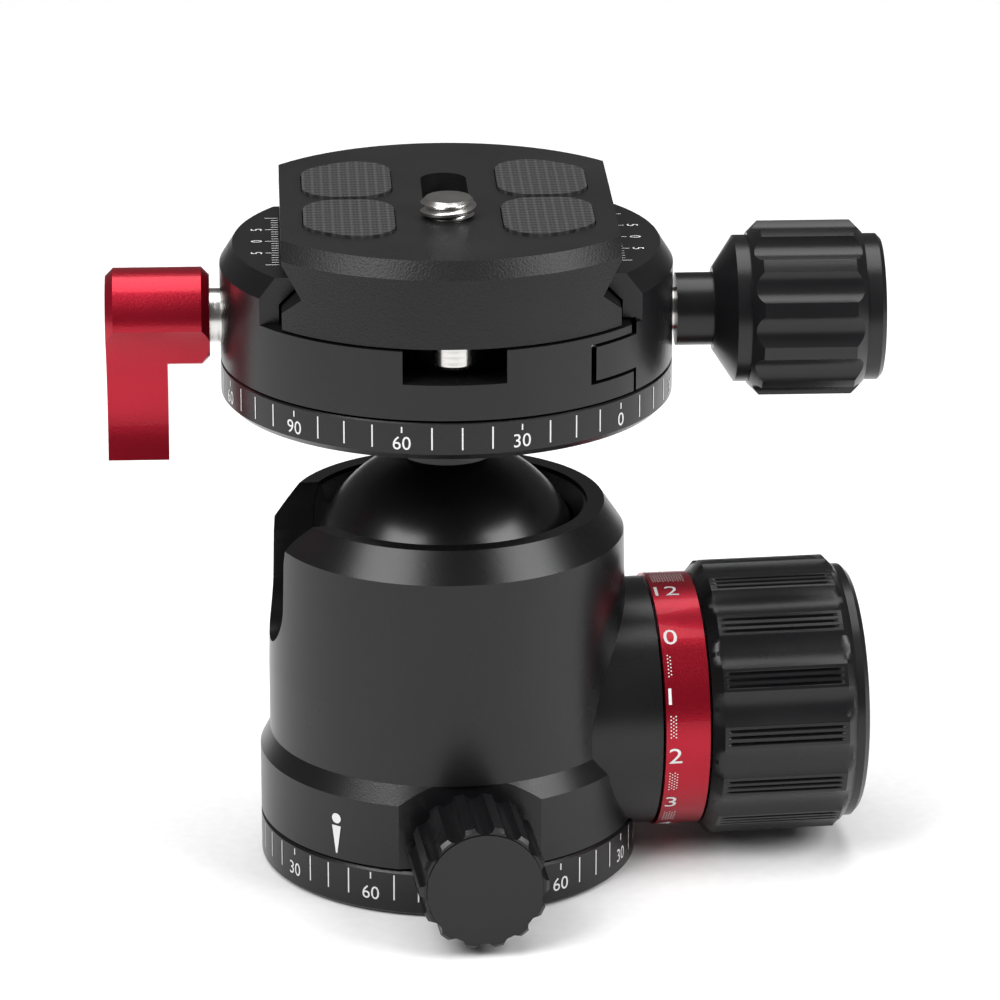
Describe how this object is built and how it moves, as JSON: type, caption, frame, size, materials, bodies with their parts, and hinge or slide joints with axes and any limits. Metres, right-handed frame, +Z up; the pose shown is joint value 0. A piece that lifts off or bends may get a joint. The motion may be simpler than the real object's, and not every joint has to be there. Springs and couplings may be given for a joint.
{
  "type": "tripod ball head",
  "caption": "Compact ball head: dovetail clamp with quick release plate on a turning scale disc, ball in a notched housing, red tension ring and lock knobs, turning base.",
  "frame": {"origin": "centre of the tripod thread's mouth in the base's bottom face, on the base's turning axis", "axes": "+Z up along the turning axis, +X along the clamp knob, Y along the plate's slot with the pan lock knob on the -Y side"},
  "size_m": [0.0891, 0.0603, 0.0817],
  "materials": {
    "black_satin": "black anodised, satin",
    "black_blasted": "black anodised, bead blasted",
    "black_ball": "hard black anodised, smooth satin",
    "red_anodised": "red anodised, satin",
    "steel": "turned, bright",
    "brass": "turned",
    "pad_rubber": "moulded diamond grip"
  },
  "bodies": {
    "base": {"base_ring": "black_satin", "pan_retainer": "steel"},
    "housing": {"housing": "black_satin", "retaining_ring": "black_satin", "wedge_block": "steel"},
    "lock_knob": {"lock_spindle": "steel", "lock_knob": "black_satin", "lock_knob_cap": "black_satin"},
    "tension": {"tension_ring": "red_anodised"},
    "pan_shoe": {"pan_brake_shoe": "brass"},
    "pan_knob": {"pan_screw": "steel", "pan_knob": "black_satin", "pan_knob_cap": "black_satin"},
    "seat": {"ball_seat": "brass"},
    "stem": {"ball": "black_ball", "scale_disc": "black_satin", "pan_drum": "steel", "neck_screw": "steel"},
    "clamp": {"clamp_body": "black_satin", "guide_pins": "steel"},
    "jaw": {"moving_jaw": "black_satin"},
    "clamp_knob": {"clamp_screw": "steel", "clamp_knob": "black_satin", "clamp_knob_cap": "black_satin"},
    "lever_shoe": {"lever_brake_shoe": "brass"},
    "lever": {"lever_shaft": "steel", "pan_lever": "red_anodised"},
    "plate": {"plate": "black_blasted", "plate_pads": "pad_rubber", "stop_screws": "steel"},
    "clip": {"screw_clip": "steel"},
    "camera_screw": {"camera_screw": "steel"}
  },
  "joints": [
    {"name": "base_pan", "type": "hinge", "parent": "base", "child": "housing", "pos_m": [0, 0, 0], "axis": [0, 0, 1], "continuous": true},
    {"name": "lock_turn", "type": "hinge", "parent": "housing", "child": "lock_knob", "pos_m": [0, 0, 0.0172], "axis": [0.9962, 0.0872, 0], "range_deg": [0, 270]},
    {"name": "tension_turn", "type": "hinge", "parent": "housing", "child": "tension", "pos_m": [0, 0, 0.0172], "axis": [0.9962, 0.0872, 0], "range_deg": [0, 332]},
    {"name": "pan_shoe_slide", "type": "slide", "parent": "housing", "child": "pan_shoe", "axis": [0.0872, -0.9962, 0], "range_m": [-0.000233, 0.000466]},
    {"name": "pan_lock_turn", "type": "hinge", "parent": "pan_shoe", "child": "pan_knob", "pos_m": [0, 0, 0.0082], "axis": [0.0872, -0.9962, 0], "range_deg": [-120, 240]},
    {"name": "ball_turn", "type": "hinge", "parent": "housing", "child": "seat", "pos_m": [0, 0, 0.0342], "axis": [0, 0, 1], "range_deg": [0, 360]},
    {"name": "ball_tilt", "type": "hinge", "parent": "seat", "child": "stem", "pos_m": [0, 0, 0.0342], "axis": [-0.0872, 0.9962, 0], "range_deg": [-76, 25]},
    {"name": "top_pan", "type": "hinge", "parent": "stem", "child": "clamp", "pos_m": [0, 0, 0.066], "axis": [0, 0, 1], "continuous": true},
    {"name": "lever_shoe_slide", "type": "slide", "parent": "clamp", "child": "lever_shoe", "axis": [1, 0, 0], "range_m": [-0.000266, 0.000133]},
    {"name": "lever_turn", "type": "hinge", "parent": "lever_shoe", "child": "lever", "pos_m": [-0.033, 0, 0.066], "axis": [1, 0, 0], "range_deg": [-120, 60]},
    {"name": "jaw_slide", "type": "slide", "parent": "clamp", "child": "jaw", "axis": [1, 0, 0], "range_m": [0, 0.003]},
    {"name": "clamp_turn", "type": "hinge", "parent": "jaw", "child": "clamp_knob", "pos_m": [0, 0, 0.066], "axis": [1, 0, 0], "range_deg": [0, 1350.1]},
    {"name": "plate_slide", "type": "slide", "parent": "clamp", "child": "plate", "axis": [0, 1, 0], "range_m": [-0.002, 0.002]},
    {"name": "screw_slide", "type": "slide", "parent": "plate", "child": "clip", "axis": [0, 1, 0], "range_m": [0, 0.0158]},
    {"name": "screw_turn", "type": "hinge", "parent": "clip", "child": "camera_screw", "pos_m": [0, -0.007, 0.078], "axis": [0, 0, 1], "continuous": true}
  ],
  "couplings": [
    {"joint": "clamp_turn", "follows": "jaw_slide", "rad_per_m": 7854},
    {"joint": "pan_lock_turn", "follows": "pan_shoe_slide", "rad_per_m": 8976},
    {"joint": "lever_turn", "follows": "lever_shoe_slide", "rad_per_m": 7854}
  ]
}
